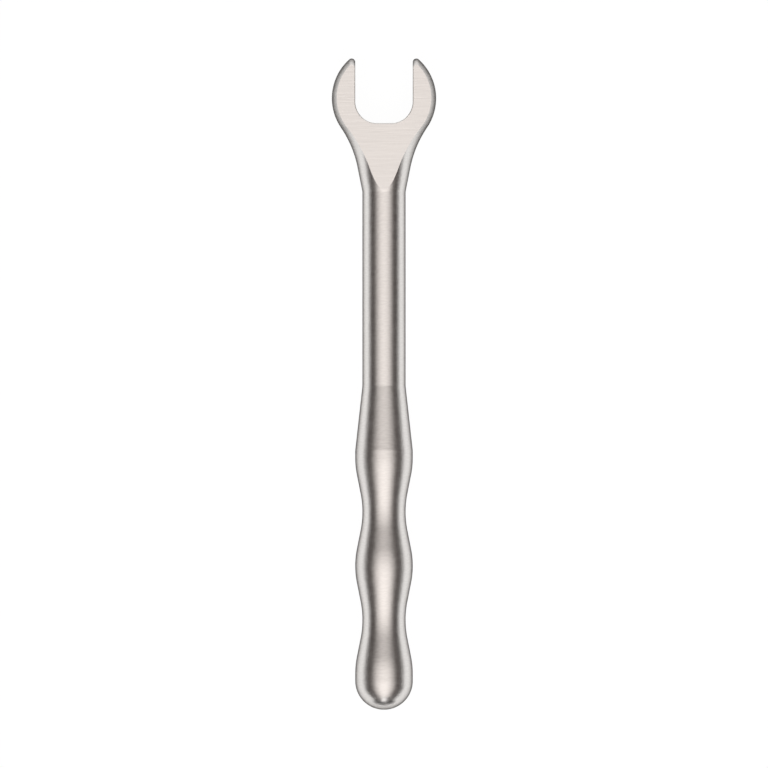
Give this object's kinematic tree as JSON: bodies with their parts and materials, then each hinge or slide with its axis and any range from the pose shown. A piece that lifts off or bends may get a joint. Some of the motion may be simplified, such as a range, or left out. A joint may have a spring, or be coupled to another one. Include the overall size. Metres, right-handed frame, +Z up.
{
  "type": "implant wrench",
  "caption": "Slim one-piece steel hand wrench with a waisted round grip, a plain shaft and an open jaw milled in a flattened ball head.",
  "frame": {"origin": "on the table, under the middle of the wrench as it lies", "axes": "+Y along the wrench from the butt to the jaw, +Z up, square to the table that it lies on"},
  "size_m": [0.0144, 0.0906, 0.0086],
  "materials": {
    "steel": "turned and satin brushed, bright"
  },
  "bodies": {
    "root": {"wrench": "steel"}
  },
  "joints": []
}
